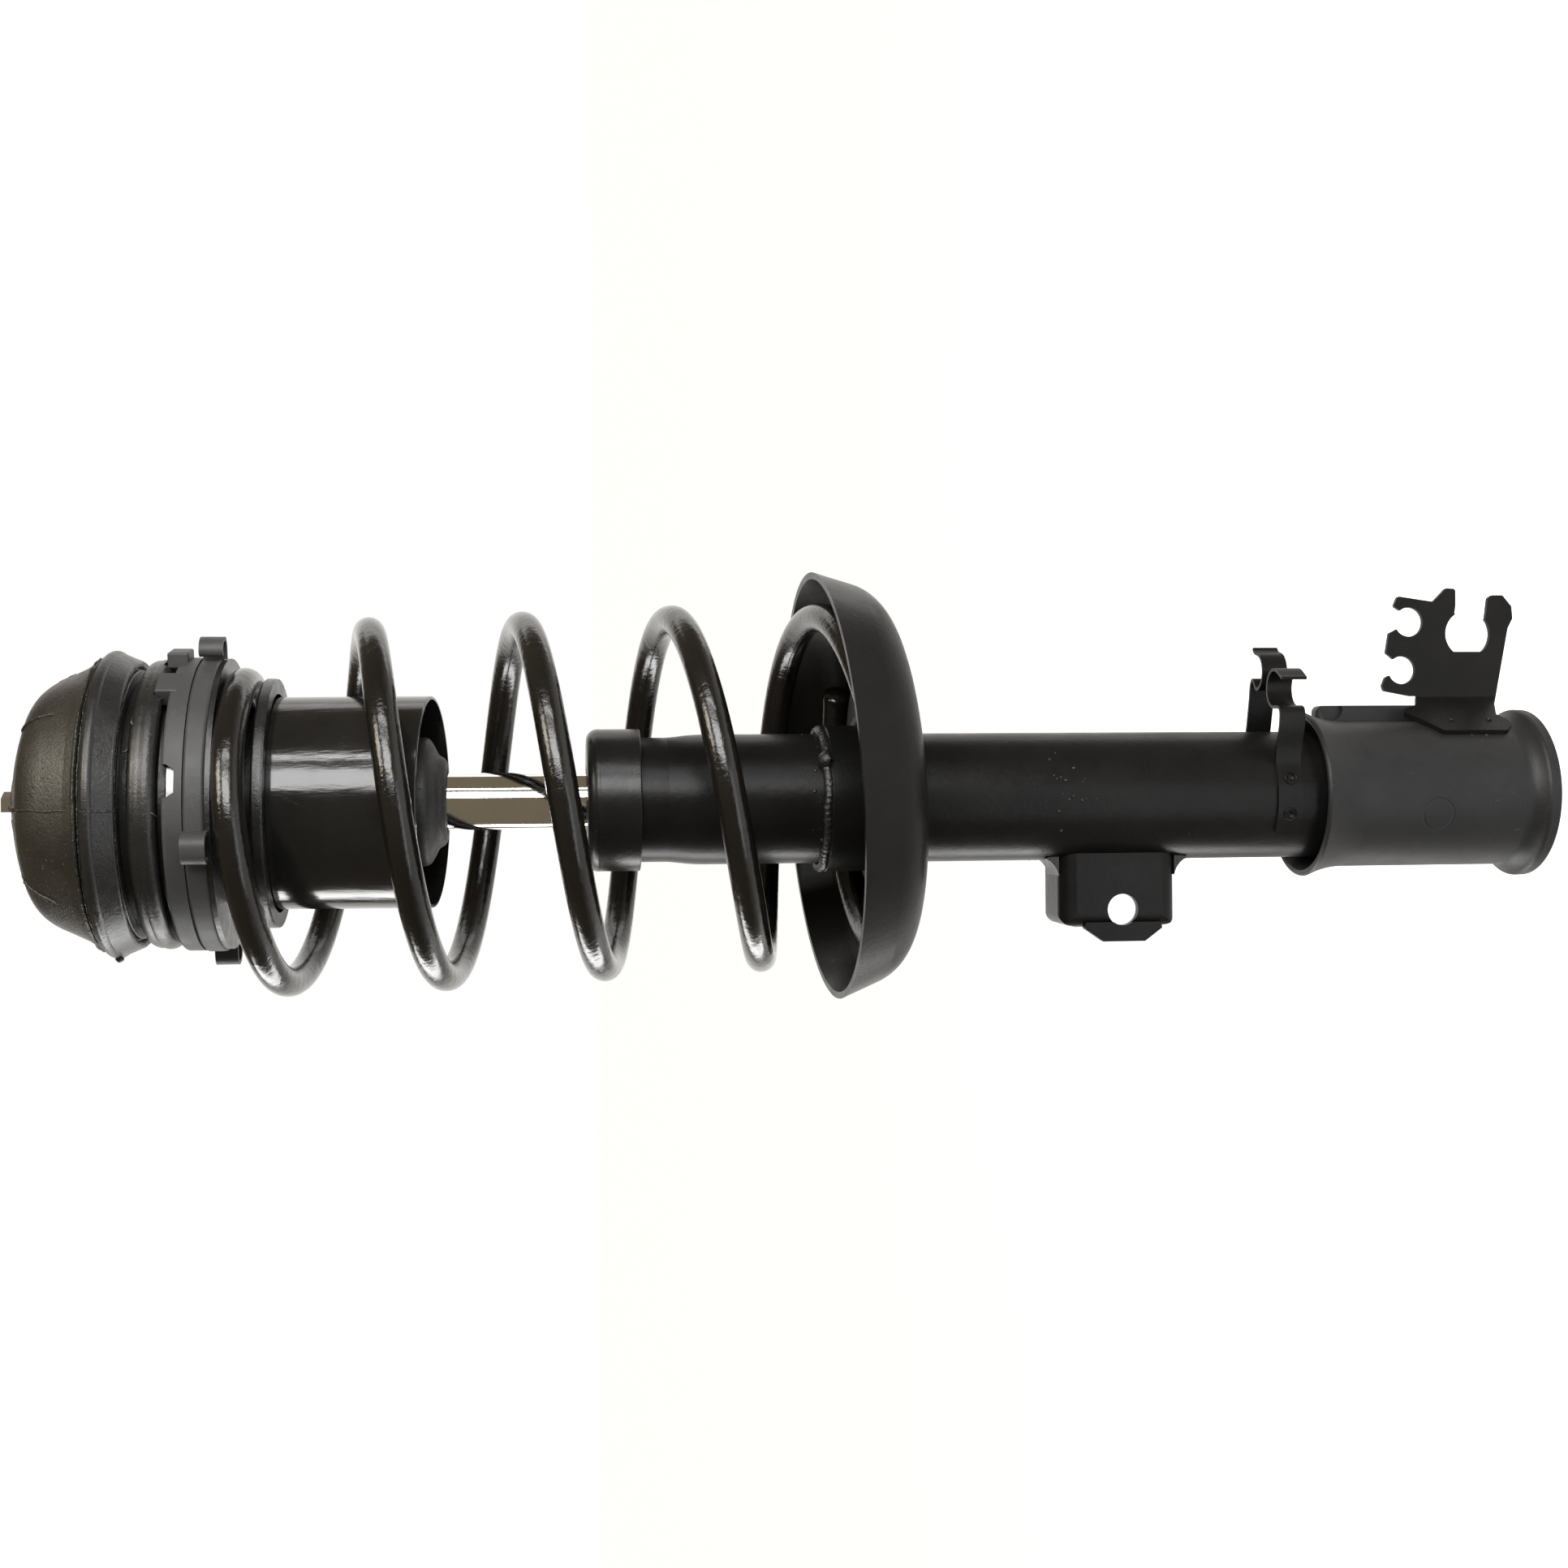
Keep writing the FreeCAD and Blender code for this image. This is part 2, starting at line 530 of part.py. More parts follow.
def clip_far():
    """Second spring clip on the +Y side, its hook higher and open towards +Y."""
    seat_r = TUBE_R + CLIP_SHEET / 2 + GAP
    leg = [at_angle(seat_r, a) for a in (118, 106, 94, 82, 70, 58, 46, 34, 24)]
    path = [(p.x, p.y) for p in leg]
    path += [(27.8, 8.6), (34.5, 6.6), (41, 4.9), (45.4, 3.5), (46.6, 1.9), (45.2, 0.1), (42.6, -2.6)]
    path += [(49.6 + 7.2 * math.cos(math.radians(a)), -2.4 + 7.2 * math.sin(math.radians(a)))
             for a in (-140, -115, -90, -65, -40, -15)]
    path += [(57.4, -1.2), (59.4, 0.9)]
    return clear_of_tube(strap(path, CLIP_LOW_Z, CLIP_HIGH_Z, CLIP_SHEET))


NOTCHES = ((70.4, 46.6, 6.0), (50.6, 49.8, 5.7), (65.6, 21.2, 9.6))    # x, z, radius
HOSE_PLATE_Y = 3.0
FOOT_ANGLE = -33.0


def hose_bracket():
    """Bracket for the brake hose and two cables: a notched upright and a foot welded to the sleeve."""
    upright = plate(lambda p: V(p[1], HOSE_PLATE_Y, p[0]), V(0, SHEET, 0),
                    (9.8, 36.4), (3.7, 68.0), (1.6, 72.0), (2.0, 77.0), (5.9, 81.6), (10.5, 81.6), (12.2, 80.4),
                    (13.4, 71.6), (26.9, 73.4), (25.6, 82.4), (26.9, 84.2), (30.4, 84.4), (36.0, 78.8), (51.2, 81.0),
                    (53.0, 76.8), (50.4, 75.2), (47.2, 70.4), (53.2, 66.6), (55.0, 65.9), (56.4, 57.6), (53.4, 55.2),
                    (50.4, 50.6), (56.8, 47.6), (58.2, 44.2), (57.4, 42.0), (46.2, 39.9), (43.3, 39.9), (43.3, 37.9))
    corners = [e for e in upright.Edges if abs(e.BoundBox.YLength - SHEET) < 1e-6]
    outer = [e for e in corners if not 13 < e.BoundBox.ZMin < 14 and not 46 < e.BoundBox.ZMin < 50.45
             and e.BoundBox.XMin > 41]
    upright = upright.makeFillet(1.1, outer)
    for x, z, radius in NOTCHES:
        notch = Part.makeCylinder(radius, 3 * SHEET, V(x, HOSE_PLATE_Y - SHEET, z), V(0, 1, 0))
        if radius > 9:
            notch = notch.cut(Part.makeBox(10, 20, 30, V(x - 7.4 - 10, -5, z - 15)))
        upright = upright.cut(notch)
    mouth = Part.makeBox(20, 3 * SHEET, 12.6, V(65.6, HOSE_PLATE_Y - SHEET, 13.7))
    upright = upright.cut(mouth)
    normal = at_angle(1, FOOT_ANGLE)
    across = V(-normal.y, normal.x, 0)
    base = normal * (SLEEVE_R + GAP)
    foot = plate(lambda p: base + across * p[1] + V(0, 0, p[0]), normal * SHEET,
                 (43.3, 25.6), (46.5, 17.5), (52.6, 14.6), (53.2, 11.6), (46.8, 4.6), (42.2, -2.2), (15.2, -2.2),
                 (11.4, 3.0), (12.0, 6.4), (15.0, 10.0), (9.8, 25.6))
    edges = [e for e in foot.Edges if abs(e.Length - SHEET) < 1e-6 and e.BoundBox.XMax < 38]
    foot = foot.makeFillet(1.4, edges)
    for z in (20.5, 36.5):
        centre = base + normal * (SHEET + 1.0) + across * 5.5
        foot = foot.cut(Part.makeSphere(1.9, V(centre.x, centre.y, z)))
    body = upright.fuse(foot).removeSplitter()
    return max(body.Solids, key=lambda s: s.Volume)


# ---- upper spring seat, turning with the spring ----------------------------------------------------------

def seat_housing():
    """Lower half of the bearing housing and spring seat, with the snap hooks that hold the upper half."""
    inner = 37.5
    body = lathe((inner, SEAT_LOW_Z), (54.6, SEAT_LOW_Z), ((55.6, SEAT_LOW_Z + 0.4), (HOUSING_R, SEAT_LOW_Z + 1.4)),
                 (HOUSING_R, SEAT_SPLIT_Z - 1.2), (HOUSING_R - 0.8, SEAT_SPLIT_Z - 0.3), (52.2, SEAT_SPLIT_Z - 0.3),
                 (52.2, 523.4), (41.8, 523.4), (41.8, SEAT_SPLIT_Z - 0.3), (39.6, SEAT_SPLIT_Z - 0.3),
                 (39.6, 522.4), (inner, 520.9))
    hub = lathe((35.0, 514.0), (37.5, 514.0), (37.5, SEAT_LOW_Z + 0.4), (inner + 0.4, 521.0), (35.0, 521.0))
    body = body.fuse(hub)
    for hook in repeated(snap_hook(), HOOK_COUNT, HOOK_ANGLE):
        body = body.fuse(hook)
    return body.removeSplitter()


def snap_hook():
    """Curl of flat plastic at the housing's rim, at angle zero, open towards -Y."""
    path = [(54.6, 4.6), (58.0, 5.0), (61.0, 4.7), (63.0, 3.2), (63.6, 0.8), (63.3, -1.8), (61.8, -4.0), (59.8, -4.7),
            (58.4, -3.7)]
    curl = strap(path, SEAT_LOW_Z - 1.3, SEAT_SPLIT_Z - 0.3, 1.5)
    return curl.cut(cylinder(55.5, SEAT_LOW_Z - 5, SEAT_LOW_Z))


def coil_isolator():
    """Rubber ring between the spring's top turn and the housing."""
    return lathe((39.0, SEAT_LOW_Z - 1.9), (55.2, SEAT_LOW_Z - 1.9), (55.2, SEAT_LOW_Z - GAP), (39.0, SEAT_LOW_Z - GAP))


def sleeve_carrier():
    """Shouldered ring under the seat that carries the dust sleeve and the bump stop."""
    return lathe((STOP_R - 3, 512.2), (29.0, 512.2), (29.0, 506.0), ((29.2, 504.8), (30.0, 504.4)), (41.8, 504.4),
                 (41.8, 500.6), (47.4, 500.6), (47.6, 501.4), (47.6, 504.2), (46.8, 505.0), (34.8, 505.0),
                 ((34.4, 505.1), (34.2, 505.6)), (34.2, 521.4), (29.0, 521.4), (29.0, 514.6), (STOP_R - 3, 514.6))


def dust_sleeve():
    """Plastic tube that shields the rod; its open end leans a little to one side."""
    inner = DUST_R - DUST_WALL
    body = lathe((inner, DUST_LOW_Z), (DUST_R - 0.3, DUST_LOW_Z), (DUST_R, DUST_LOW_Z + 0.4),
                 (DUST_R, DUST_TOP_Z + 8), (inner, DUST_TOP_Z + 8))
    leaning = turned(body, -DUST_LEAN, z=DUST_TOP_Z, axis=V(1, 0, 0))
    return leaning.cut(cylinder(60, DUST_TOP_Z + 0.3, DUST_TOP_Z + 20))


def bump_stop():
    """Cellular rubber spring on the rod: three bulges and a stepped tip."""
    bore = ROD_R + 0.6
    tip = [(15.0, STOP_LOW_Z), ((16.2, STOP_LOW_Z + 0.6), (16.8, STOP_LOW_Z + 1.6)), (18.0, STOP_LOW_Z + 3.4),
           (22.6, STOP_LOW_Z + 6.0), ((24.6, STOP_LOW_Z + 7.4), (STOP_R, STOP_LOW_Z + 9.8)),
           ((24.2, STOP_LOW_Z + 14.6), (21.0, STOP_LOW_Z + 17.6))]
    bulges = []
    for i in range(2):
        low = STOP_LOW_Z + 20.6 + 21.4 * i
        bulges += [((19.9, low - 1.5), (21.0, low)), ((24.6, low + 4.0), (STOP_R, low + 9.2)),
                   ((24.6, low + 14.4), (21.0, low + 18.4))]
    crown = [((19.9, STOP_TOP_Z - 10.2), (21.6, STOP_TOP_Z - 8.4)), (21.6, STOP_TOP_Z), (bore, STOP_TOP_Z)]
    return lathe((bore, STOP_LOW_Z), *(tip + bulges + crown))


def race(inner, outer, low, high, groove_z):
    """Steel race with a ball groove."""
    body = ring(outer, inner, low, high)
    return body.cut(Part.makeTorus(BALL_PCD_R, BALL_R + 0.06, V(0, 0, groove_z)))


def lower_race():
    return race(43.2, 51.0, 523.4 + GAP, BALL_Z - 0.9, BALL_Z)


def ball_set():
    """Ball set of the strut bearing."""
    return Part.makeCompound([Part.makeSphere(BALL_R, at_angle(BALL_PCD_R, 360.0 * i / BALL_COUNT, BALL_Z))
                              for i in range(BALL_COUNT)])


def ball_cage():
    """Cage that spaces the balls."""
    body = ring(BALL_PCD_R + 3.6, BALL_PCD_R - 3.6, BALL_Z - 0.55, BALL_Z + 0.55)
    for i in range(BALL_COUNT):
        centre = at_angle(BALL_PCD_R, 360.0 * i / BALL_COUNT, BALL_Z - 1)
        body = body.cut(Part.makeCylinder(BALL_R + 0.1, 2, centre))
    return body


# ---- rod and top mount, fixed to the body ----------------------------------------------------------------

def upper_race():
    """Upper race: the groove and a polished flange under the mount."""
    body = lathe((42.2, BALL_Z + 0.9), (51.4, BALL_Z + 0.9), (51.4, HOUSING_TOP_Z - 1.2), (42.2, HOUSING_TOP_Z - 1.2))
    return body.cut(Part.makeTorus(BALL_PCD_R, BALL_R + 0.06, V(0, 0, BALL_Z)))


def bearing_cover():
    """Upper half of the bearing housing, with a window to the race and a locating tab."""
    low = SEAT_SPLIT_Z
    body = lathe((53.0, low), (55.6, low), (55.6, HOUSING_TOP_Z - 1.4), ((55.2, HOUSING_TOP_Z - 0.4),
                 (54.2, HOUSING_TOP_Z)), (40.0, HOUSING_TOP_Z), (40.0, HOUSING_TOP_Z - 5),
                 (41.6, HOUSING_TOP_Z - 5), (41.6, HOUSING_TOP_Z - 1.1), (53.0, HOUSING_TOP_Z - 1.1))
    window = plate(lambda p: V(p[0], -60, p[1]), V(0, 20, 0),
                   (-6.0, HOUSING_TOP_Z + 1), (-6.0, HOUSING_TOP_Z - 1.6), (-4.2, HOUSING_TOP_Z - 4.4),
                   (4.2, HOUSING_TOP_Z - 4.4), (6.0, HOUSING_TOP_Z - 1.6), (6.0, HOUSING_TOP_Z + 1))
    body = body.cut(turned(window, 9))
    tab = Part.makeBox(6.0, 12.0, 7.8, V(52.8, -6.0, HOUSING_TOP_Z - 3.4))
    tab = turned(tab.makeFillet(0.8, tab.Edges), -12)
    lug = Part.makeBox(7.0, 12.0, 8.6, V(48.6, -6.0, HOUSING_TOP_Z - 3.2))
    lug = turned(lug.makeFillet(0.8, lug.Edges), -36)
    tab_cut = cylinder(53.05, low, HOUSING_TOP_Z - 1.05)
    return body.fuse(tab.cut(tab_cut)).fuse(lug.cut(tab_cut)).removeSplitter()


def lower_buffer():
    """Rubber ring between bearing and mount, thick at its rim."""
    low = HOUSING_TOP_Z + 0.2
    body = lathe((39.0, low), (46.0, low), (46.6, low + 2.4), ((50.0, low + 3.2), (52.6, low + 2.2)),
                 ((54.6, low + 4.4), (54.4, low + 8.0)), ((53.4, low + 11.4), (50.8, low + 12.6)),
                 (47.4, low + 13.0), (46.9, low + 15.8), (39.0, low + 15.8))
    tab_room = [turned(Part.makeBox(16, 14, 9, V(46, -7, HOUSING_TOP_Z - 3.5)), a) for a in (-12, -36)]
    for room in tab_room:
        body = body.cut(room)
    return body


def mount_plate():
    """Steel plate bonded between buffer and rubber lip."""
    low = HOUSING_TOP_Z + 16.1
    return lathe((22.0, low), (50.2, low), ((50.8, low + 0.2), (51.0, low + 0.8)),
                 ((50.8, low + 1.4), (50.2, low + 1.6)), (22.0, low + 1.6))


def mount_flange():
    """Rubber lip round the mount: a thick disc with a rounded edge."""
    low = HOUSING_TOP_Z + 17.8
    return lathe((22.0, low), (51.4, low), (52.4, low - 1.6), ((53.6, low - 1.7), (54.6, low - 0.6)),
                 (57.2, low + 5.4), ((58.2, low + 7.4), (57.4, low + 9.2)), (56.0, RIM_Z - 1.0), (54.0, RIM_Z - 0.3),
                 (22.0, RIM_Z - 0.3))


def mount_dome():
    """Rubber crown that presses into the body's strut tower, with the well for the nut."""
    return lathe((24.2, RIM_Z), (RIM_R - 0.8, RIM_Z), ((RIM_R - 0.2, RIM_Z + 0.3), (RIM_R, RIM_Z + 0.8)),
                 ((RIM_R - 0.5, RIM_Z + 1.5), (RIM_R - 1.4, RIM_Z + 2.0)), (52.0, 568.6), (48.0, 577.0),
                 ((46.2, 580.7), (43.6, 584.3)), ((40.4, 587.1), (36.0, 589.2)), ((30.2, 591.3), (25.0, 592.7)),
                 (17.0, DOME_TOP_Z - 0.6), ((15.6, DOME_TOP_Z), (WELL_R, DOME_TOP_Z - 0.6)), (WELL_R, WELL_FLOOR_Z),
                 (24.2, WELL_FLOOR_Z))


def mount_core():
    """Steel inner core of the mount, clamped between the rod's shoulder and the washer."""
    return lathe((STUD_R + 0.3, ROD_SHOULDER_Z), (24.0, ROD_SHOULDER_Z), (24.0, WELL_FLOOR_Z - 0.6),
                 (STUD_R + 0.3, WELL_FLOOR_Z - 0.6))


def mount_collar():
    """Steel collar on the rod that carries the core through the plate."""
    return lathe((ROD_R + GAP, HOUSING_TOP_Z + 4), (17.0, HOUSING_TOP_Z + 4), (21.6, HOUSING_TOP_Z + 14),
                 (21.6, ROD_SHOULDER_Z - GAP), (ROD_R + GAP, ROD_SHOULDER_Z - GAP))


def rod_washer():
    return ring(12.8, STUD_R + 0.2, WELL_FLOOR_Z - 0.5, WELL_FLOOR_Z + 2.0)


def rod_nut():
    """Flanged nut that holds the mount on the rod."""
    low = WELL_FLOOR_Z + 2.1
    body = hexagon(18, low + 1, low + 11).common(lathe((0, low), (10.6, low), (10.6, low + 9), (9.0, low + 11),
                                                      (0, low + 11)))
    return body.fuse(cylinder(11.6, low, low + 1.8)).cut(cylinder(STUD_R + GAP, low - 1, low + 12)).removeSplitter()


NODES = (reserve_tube, bottom_cap, lower_sleeve, clamp_rib, pressure_tube, base_valve_body, base_valve_pin,
         rod_guide, rod_guide_bush, rod_seal, top_cap, spring_dish, dish_collar, dish_welds, coil_spring,
         link_bracket, link_welds, clip_near, clip_far, hose_bracket, seat_housing, coil_isolator,
         sleeve_carrier, dust_sleeve, bump_stop, lower_race, ball_set, ball_cage, piston_rod, piston,
         piston_band, piston_shims, piston_nut, rebound_stop, upper_race, bearing_cover, lower_buffer,
         mount_plate, mount_flange, mount_dome, mount_core, mount_collar, rod_washer, rod_nut)

os.makedirs("parts", exist_ok=True)
for make in NODES:
    save(make(), make.__name__)
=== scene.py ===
import json
import math
import random

import bpy
from mathutils import Matrix, Vector


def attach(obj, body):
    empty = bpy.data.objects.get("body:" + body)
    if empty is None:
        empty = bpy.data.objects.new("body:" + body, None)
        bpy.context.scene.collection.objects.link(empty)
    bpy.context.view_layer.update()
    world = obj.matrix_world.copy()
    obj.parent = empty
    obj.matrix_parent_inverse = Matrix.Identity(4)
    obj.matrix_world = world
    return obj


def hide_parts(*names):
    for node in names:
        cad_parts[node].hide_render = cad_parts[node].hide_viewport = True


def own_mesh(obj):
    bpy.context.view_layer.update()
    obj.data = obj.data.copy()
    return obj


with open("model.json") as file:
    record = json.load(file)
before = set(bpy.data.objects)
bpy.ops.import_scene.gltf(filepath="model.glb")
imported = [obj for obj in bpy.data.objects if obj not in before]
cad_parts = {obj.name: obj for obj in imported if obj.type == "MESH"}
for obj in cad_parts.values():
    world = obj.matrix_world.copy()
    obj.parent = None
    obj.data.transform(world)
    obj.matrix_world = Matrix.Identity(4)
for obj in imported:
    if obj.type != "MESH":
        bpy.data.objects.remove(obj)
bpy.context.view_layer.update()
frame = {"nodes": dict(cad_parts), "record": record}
nodes = frame["nodes"]
rng = random.Random(7)
MM = 0.001


# ---- node helpers -------------------------------------------------------------------------------

class Paint:
    """A Principled material with its node tree, and short ways to add texture to it."""

    def __init__(self, name):
        self.material = bpy.data.materials.new(name)
        self.material.use_nodes = True
        self.tree = self.material.node_tree
        self.shader = self.tree.nodes["Principled BSDF"]
        self.place = self.tree.nodes.new("ShaderNodeTexCoord").outputs["Object"]
        self.normal = None

    def link(self, value, socket):
        if isinstance(value, bpy.types.NodeSocket):
            self.tree.links.new(value, socket)
        else:
            socket.default_value = value

    def set(self, **values):
        for name, value in values.items():
            self.link(value, self.shader.inputs[name.replace("_", " ")])

    def noise(self, scale, detail=3.0, rough=0.55, stretch=(1, 1, 1), offset=0.0):
        """Noise in metres: scale is cells per metre, stretch divides it along each axis."""
        mapping = self.tree.nodes.new("ShaderNodeMapping")
        self.link(self.place, mapping.inputs["Vector"])
        mapping.inputs["Scale"].default_value = stretch
        mapping.inputs["Location"].default_value = (offset, offset * 0.7, offset * 1.3)
        node = self.tree.nodes.new("ShaderNodeTexNoise")
        self.link(mapping.outputs[0], node.inputs["Vector"])
        node.inputs["Scale"].default_value = scale
        node.inputs["Detail"].default_value = detail
        node.inputs["Roughness"].default_value = rough
        return node.outputs["Fac"]

    def cells(self, scale):
        node = self.tree.nodes.new("ShaderNodeTexVoronoi")
        self.link(self.place, node.inputs["Vector"])
        node.inputs["Scale"].default_value = scale
        return node.outputs["Distance"]

    def remap(self, value, low, high, to_low, to_high):
        node = self.tree.nodes.new("ShaderNodeMapRange")
        self.link(value, node.inputs["Value"])
        for name, number in (("From Min", low), ("From Max", high), ("To Min", to_low), ("To Max", to_high)):
            node.inputs[name].default_value = number
        return node.outputs["Result"]

    def math(self, kind, a, b=0.0):
        node = self.tree.nodes.new("ShaderNodeMath")
        node.operation = kind
        self.link(a, node.inputs[0])
        self.link(b, node.inputs[1])
        return node.outputs[0]

    def mix(self, factor, a, b):
        """Colour a to colour b."""
        node = self.tree.nodes.new("ShaderNodeMix")
        node.data_type = "RGBA"
        self.link(factor, node.inputs["Factor"])
        self.link(a if isinstance(a, bpy.types.NodeSocket) else (*a, 1), node.inputs["A"])
        self.link(b if isinstance(b, bpy.types.NodeSocket) else (*b, 1), node.inputs["B"])
        return node.outputs["Result"]

    def axes(self):
        """The three coordinates of the point, in metres."""
        node = self.tree.nodes.new("ShaderNodeSeparateXYZ")
        self.link(self.place, node.inputs[0])
        return node.outputs

    def bump(self, height, depth):
        """Adds relief of that depth in metres on top of any before it."""
        node = self.tree.nodes.new("ShaderNodeBump")
        self.link(height, node.inputs["Height"])
        node.inputs["Strength"].default_value = 1.0
        node.inputs["Distance"].default_value = depth
        if self.normal is not None:
            self.link(self.normal, node.inputs["Normal"])
        self.normal = node.outputs["Normal"]
        self.link(self.normal, self.shader.inputs["Normal"])

    def specks(self, scale, size, share_scale=60.0):
        """1 inside small scattered specks, 0 elsewhere."""
        near = self.remap(self.cells(scale), size * 0.6, size, 1.0, 0.0)
        patch = self.remap(self.noise(share_scale, 2.0, offset=3.1), 0.52, 0.62, 0.0, 1.0)
        return self.math("MULTIPLY", near, patch)


def surface(name, base, other, rough, wander=28.0, grain=(), specular=0.5, coat=0.0, coat_rough=0.1,
            metallic=0.0):
    """Base colour that wanders to another, roughness from low to high, bumps as (scale, depth, stretch)."""
    paint = Paint(name)
    drift = paint.remap(paint.noise(wander, 4.0, 0.6), 0.35, 0.68, 0.0, 1.0)
    colour = paint.mix(drift, base, other)
    patches = paint.remap(paint.noise(wander * 3.1, 5.0, 0.65, offset=1.7), 0.3, 0.7, rough[0], rough[1])
    paint.set(Base_Color=colour, Roughness=patches, Metallic=metallic, Specular_IOR_Level=specular,
              Coat_Weight=coat, Coat_Roughness=coat_rough)
    for scale, depth, stretch in grain:
        paint.bump(paint.noise(scale, 3.0, 0.6, stretch), depth)
    paint.colour = colour
    return paint


def dust(paint, colour, scale=900.0, size=0.10):
    """Adds scattered light specks to a surface."""
    paint.colour = paint.mix(paint.specks(scale, size), paint.colour, colour)
    paint.set(Base_Color=paint.colour)
    return paint


def wear(paint, colour, share=0.66, scale=160.0):
    """Adds faint rubbed patches with short scratches."""
    fine = paint.noise(scale, 8.0, 0.75, (1, 1, 0.35), offset=5.3)
    rubbed = paint.remap(fine, share, share + 0.07, 0.0, 0.55)
    paint.colour = paint.mix(rubbed, paint.colour, colour)
    paint.set(Base_Color=paint.colour)
    return paint


# ---- materials by slot --------------------------------------------------------------------------

FLAT = (1, 1, 1)
STAMP_X, STAMP_Z, STAMP_R = -0.0083, 0.0490, 0.0062


def make_tube_paint():
    paint = surface("tube_paint", (0.0050, 0.0048, 0.0048), (0.0080, 0.0076, 0.0073), (0.27, 0.36),
                    grain=((420, 0.00008, FLAT), (2600, 0.00003, FLAT)), specular=0.15)
    wear(paint, (0.020, 0.019, 0.018))
    return dust(paint, (0.05, 0.05, 0.048), 1100, 0.09)


def make_sleeve_paint():
    """Grey paint with a stamped circle on the front of the sleeve."""
    paint = surface("sleeve_paint", (0.014, 0.014, 0.015), (0.021, 0.021, 0.022), (0.36, 0.46),
                    grain=((3400, 0.00005, FLAT), (500, 0.00006, FLAT)), specular=0.25)
    x, y, z = paint.axes()
    across = paint.math("SUBTRACT", x, STAMP_X)
    along = paint.math("SUBTRACT", z, STAMP_Z)
    reach = paint.math("SQRT", paint.math("ADD", paint.math("MULTIPLY", across, across),
                                          paint.math("MULTIPLY", along, along)))
    off_ring = paint.math("ABSOLUTE", paint.math("SUBTRACT", reach, STAMP_R))
    ring = paint.remap(off_ring, 0.0002, 0.0007, 0.0, 1.0)
    front = paint.remap(y, -0.012, -0.010, 0.0, 1.0)
    paint.bump(paint.math("MAXIMUM", ring, front), 0.00016)
    wear(paint, (0.060, 0.060, 0.060), 0.64)
    return dust(paint, (0.10, 0.10, 0.10), 900, 0.10)


def make_coil_paint():
    paint = surface("coil_paint", (0.0050, 0.0042, 0.0036), (0.0085, 0.0072, 0.0060), (0.12, 0.20),
                    grain=((330, 0.00022, FLAT), (1100, 0.00007, FLAT)), specular=0.42, coat=0.15,
                    coat_rough=0.07)
    return dust(paint, (0.08, 0.075, 0.07), 700, 0.08)


def make_weld_metal():
    paint = surface("weld_metal", (0.0060, 0.0060, 0.0062), (0.014, 0.013, 0.012), (0.22, 0.42),
                    grain=((700, 0.00030, FLAT), (2400, 0.00010, FLAT)))
    return wear(paint, (0.05, 0.048, 0.045), 0.60, 400)


def make_cap_plastic():
    paint = surface("cap_plastic", (0.0060, 0.0059, 0.0059), (0.0090, 0.0088, 0.0086), (0.24, 0.32),
                    grain=((2200, 0.00003, FLAT), (300, 0.00008, FLAT)), specular=0.28)
    return dust(paint, (0.06, 0.06, 0.06), 1300, 0.10)


def make_chromed_rod():
    paint = surface("chromed_rod", (0.92, 0.91, 0.89), (0.84, 0.84, 0.84), (0.035, 0.07), wander=90,
                    grain=((2200, 0.000006, (0.15, 0.15, 2.0)),), metallic=1.0)
    return paint


def make_bright_steel():
    paint = surface("bright_steel", (0.36, 0.355, 0.35), (0.26, 0.255, 0.25), (0.28, 0.44), wander=60,
                    grain=((1800, 0.00002, (0.2, 0.2, 2.0)), (700, 0.00003, FLAT)), metallic=1.0)
    return wear(paint, (0.16, 0.15, 0.135), 0.62)


def make_sintered_steel():
    paint = surface("sintered_steel", (0.24, 0.24, 0.25), (0.16, 0.16, 0.16), (0.45, 0.62),
                    grain=((2600, 0.00008, FLAT),), metallic=0.9)
    return wear(paint, (0.34, 0.33, 0.31), 0.62)


def make_bronze():
    return wear(surface("bronze", (0.52, 0.34, 0.14), (0.40, 0.26, 0.11), (0.25, 0.4),
                        grain=((1500, 0.00004, FLAT),), metallic=1.0), (0.25, 0.17, 0.08), 0.62)


def make_yellow_zinc():
    paint = surface("yellow_zinc", (0.52, 0.46, 0.26), (0.44, 0.34, 0.30), (0.22, 0.4), wander=220,
                    grain=((1700, 0.00004, FLAT),), metallic=1.0)
    return wear(paint, (0.18, 0.16, 0.12), 0.60, 420)


def make_dome_rubber():
    paint = surface("dome_rubber", (0.0135, 0.0120, 0.0095), (0.026, 0.0235, 0.0185), (0.30, 0.42), wander=45,
                    grain=((900, 0.00022, FLAT), (2800, 0.00010, FLAT)), specular=0.5)
    pits = paint.remap(paint.cells(420), 0.05, 0.16, 0.0, 1.0)
    paint.bump(pits, 0.00025)
    wear(paint, (0.055, 0.050, 0.040), 0.60, 260)
    return dust(paint, (0.13, 0.125, 0.11), 620, 0.10)


def make_black_rubber():
    paint = surface("black_rubber", (0.0075, 0.0072, 0.0070), (0.0125, 0.0120, 0.0118), (0.24, 0.38),
                    wander=50, grain=((600, 0.00014, FLAT), (2400, 0.00006, FLAT)), specular=0.5)
    wear(paint, (0.030, 0.029, 0.028), 0.61, 240)
    return dust(paint, (0.10, 0.10, 0.095), 800, 0.10)


def make_foam_rubber():
    paint = surface("foam_rubber", (0.010, 0.0098, 0.0096), (0.018, 0.0175, 0.017), (0.40, 0.6), wander=70,
                    grain=((1400, 0.00018, FLAT),))
    pores = paint.remap(paint.cells(1500), 0.0, 0.35, 0.0, 1.0)
    paint.bump(pores, 0.00016)
    return dust(paint, (0.06, 0.06, 0.058), 900, 0.10)


